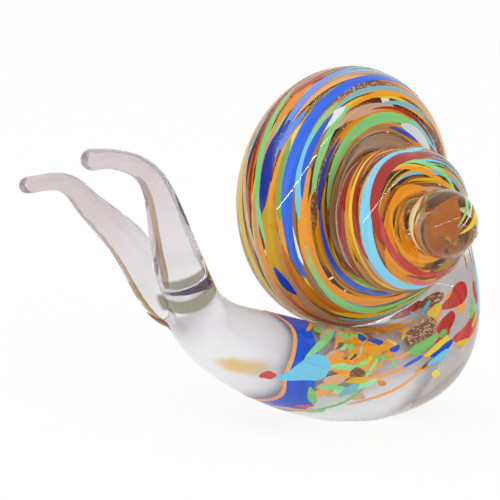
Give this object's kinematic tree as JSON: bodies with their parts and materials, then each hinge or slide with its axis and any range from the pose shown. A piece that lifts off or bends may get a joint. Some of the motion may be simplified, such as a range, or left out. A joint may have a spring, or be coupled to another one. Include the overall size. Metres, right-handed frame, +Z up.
{
  "type": "glass snail figurine",
  "caption": "Hot-worked glass snail: a white-cored clear foot and neck with parted clear horns, carrying a coiled amber shell drawn with streaks of coloured glass.",
  "frame": {"origin": "on the ground flat under the foot, on the foot's centre line below the coil's axis", "axes": "+Z up, -X the way the head looks, -Y the way the shell's apex points"},
  "size_m": [0.1211, 0.0557, 0.0714],
  "materials": {
    "clear_glass": "clear, fire polished",
    "opal_glass": "opaque white opal",
    "amber_glass": "clear amber, fire polished",
    "cobalt": "opaque cobalt blue glass",
    "sky": "opaque sky blue glass",
    "green": "opaque light green glass",
    "yellow": "opaque golden yellow glass",
    "orange": "opaque orange glass",
    "red": "opaque red glass",
    "white": "opaque white glass",
    "copper": "brown glass with copper flakes",
    "tan": "opaque tan glass"
  },
  "bodies": {
    "root": {"body_casing": "clear_glass", "opal_core": "opal_glass", "near_horn": "clear_glass", "far_horn": "clear_glass", "shell_coil": "amber_glass", "apex_knob": "clear_glass", "neck_band": "cobalt", "neck_threads": "orange", "cobalt_streaks": "cobalt", "sky_streaks": "sky", "green_streaks": "green", "yellow_streaks": "yellow", "orange_streaks": "orange", "red_streaks": "red", "white_streaks": "white", "copper_streaks": "copper", "tan_streaks": "tan", "orange_chips": "orange", "red_chips": "red", "sky_chips": "sky", "green_chips": "green", "yellow_chips": "yellow", "cobalt_chips": "cobalt", "copper_chips": "copper"}
  },
  "joints": []
}
